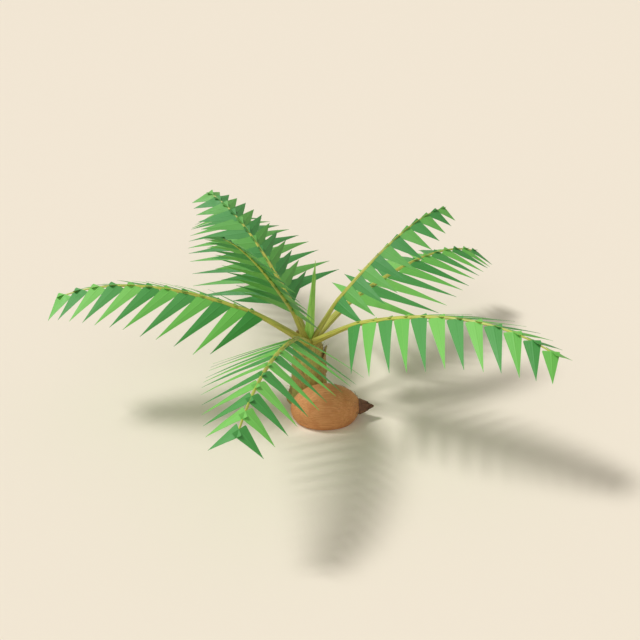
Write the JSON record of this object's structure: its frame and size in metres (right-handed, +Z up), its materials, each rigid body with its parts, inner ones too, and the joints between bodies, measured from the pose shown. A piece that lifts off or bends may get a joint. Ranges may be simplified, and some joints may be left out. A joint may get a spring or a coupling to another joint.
{
  "type": "young coconut palm",
  "caption": "Young coconut palm with arching pinnate fronds, a folded spear leaf, a short flared trunk with old leaf bases, and its seed nut on the ground.",
  "frame": {"origin": "centre of the flat cut under the trunk, at ground level", "axes": "+Z up along the trunk, -Y to the front, +X to the right seen from the front"},
  "size_m": [1.9812, 2.3042, 0.913],
  "materials": {
    "bark": "matt fibrous olive-brown stem with leaf scars",
    "leaf_base": "dry fibrous old leaf bases",
    "frond": "satin green leaflets in lighter and darker pairs on a yellow-green midrib",
    "young_frond": "satin fresh green leaflets in lighter and darker pairs on a yellow-green midrib",
    "spear": "smooth satin yellow-green folded leaf",
    "husk": "dry matt orange-brown fibrous husk",
    "stem_end": "dark brown dried scales"
  },
  "bodies": {
    "root": {"trunk": "bark", "leaf_base_1": "leaf_base", "leaf_base_3": "leaf_base", "leaf_base_4": "leaf_base", "leaf_base_5": "leaf_base", "leaf_base_6": "leaf_base", "spear_leaf": "spear", "young_frond_right": "young_frond", "young_frond_back": "young_frond", "young_frond_front": "young_frond", "frond_right": "frond", "frond_back_right": "frond", "frond_back_left": "frond", "frond_left": "frond", "frond_front": "frond", "seed_nut": "husk", "seed_stem_end": "stem_end"}
  },
  "joints": []
}
